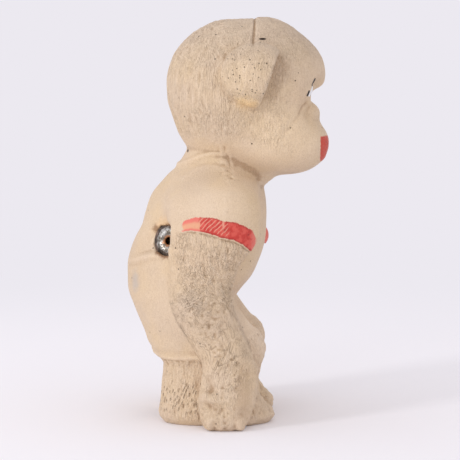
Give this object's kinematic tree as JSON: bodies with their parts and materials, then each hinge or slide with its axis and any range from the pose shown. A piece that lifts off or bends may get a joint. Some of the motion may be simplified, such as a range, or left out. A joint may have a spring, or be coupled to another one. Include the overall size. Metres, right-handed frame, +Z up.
{
  "type": "chimpanzee figurine",
  "caption": "Hollow moulded rubber chimpanzee in shirt and shorts, standing on bent legs with its fists on the ground, with a metal reed squeaker set into its back.",
  "frame": {"origin": "middle of the figure's footprint, on the surface it stands on", "axes": "+Z up, -Y the way the chimpanzee faces, +X its left side"},
  "size_m": [0.1136, 0.1108, 0.22],
  "materials": {
    "moulded_rubber": "matt, aged cream latex rubber with faded red paint on the sleeves and lips",
    "plated_metal": "stamped plated steel, tarnished, with rust round its rim",
    "reed_brass": "plain brass strip, dulled"
  },
  "bodies": {
    "figure": {"rubber_body": "moulded_rubber", "squeaker_front_plate": "plated_metal", "squeaker_rear_cup": "plated_metal", "reed_plate": "reed_brass", "reed_clamp": "plated_metal", "front_rivet": "reed_brass", "back_rivet": "reed_brass"},
    "reed": {"reed": "reed_brass"}
  },
  "joints": [
    {"name": "reed_flex", "type": "hinge", "parent": "figure", "child": "reed", "pos_m": [-0.02728, 0.02984, 0.10244], "axis": [-0.5446, -0.8387, 0], "range_deg": [-3.5, 3.5], "stiffness_Nm_per_rad": 0.0001}
  ]
}
